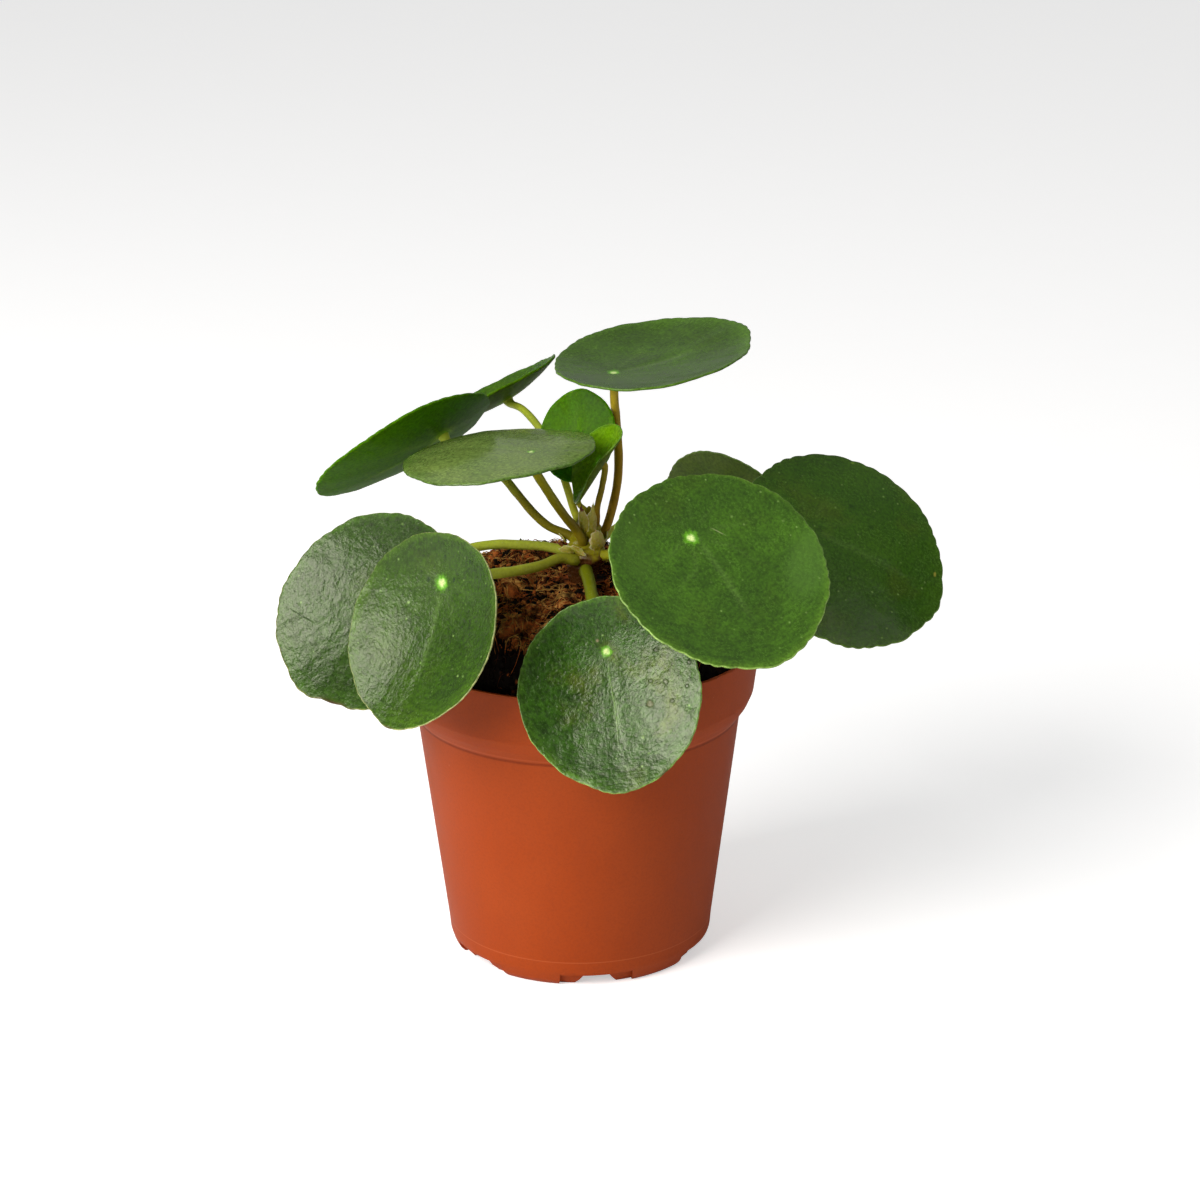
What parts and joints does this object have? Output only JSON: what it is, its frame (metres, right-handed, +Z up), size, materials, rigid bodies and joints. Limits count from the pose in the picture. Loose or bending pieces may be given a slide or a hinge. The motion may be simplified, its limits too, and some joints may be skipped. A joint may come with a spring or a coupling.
{
  "type": "potted pilea plant",
  "caption": "Small houseplant with round leaves on long curved stalks, rising from a short stem in a round plastic nursery pot of soil.",
  "frame": {"origin": "on the floor under the middle of the whole plant's spread", "axes": "+Z up, +X to the right and +Y away as seen from the front, with the widest spread of leaves along X"},
  "size_m": [0.1924, 0.1416, 0.1801],
  "materials": {
    "pot": "matte",
    "soil": "matte",
    "stem": "matte",
    "stalk": "satin",
    "leaf": "satin",
    "young_leaf": "satin"
  },
  "bodies": {
    "root": {"pot": "pot", "soil": "soil", "stem": "stem", "petiole_top": "stalk", "petiole_upper_left": "stalk", "petiole_centre": "stalk", "petiole_back_left": "stalk", "petiole_young_upright": "stalk", "petiole_young_folded": "stalk", "petiole_front_right": "stalk", "petiole_far_right": "stalk", "petiole_back_right": "stalk", "petiole_front": "stalk", "petiole_front_left": "stalk", "petiole_far_left": "stalk", "leaf_top": "leaf", "leaf_upper_left": "leaf", "leaf_centre": "leaf", "leaf_back_left": "leaf", "leaf_young_upright": "young_leaf", "leaf_young_folded": "young_leaf", "leaf_front_right": "leaf", "leaf_far_right": "leaf", "leaf_back_right": "leaf", "leaf_front": "leaf", "leaf_front_left": "leaf", "leaf_far_left": "leaf"}
  },
  "joints": []
}
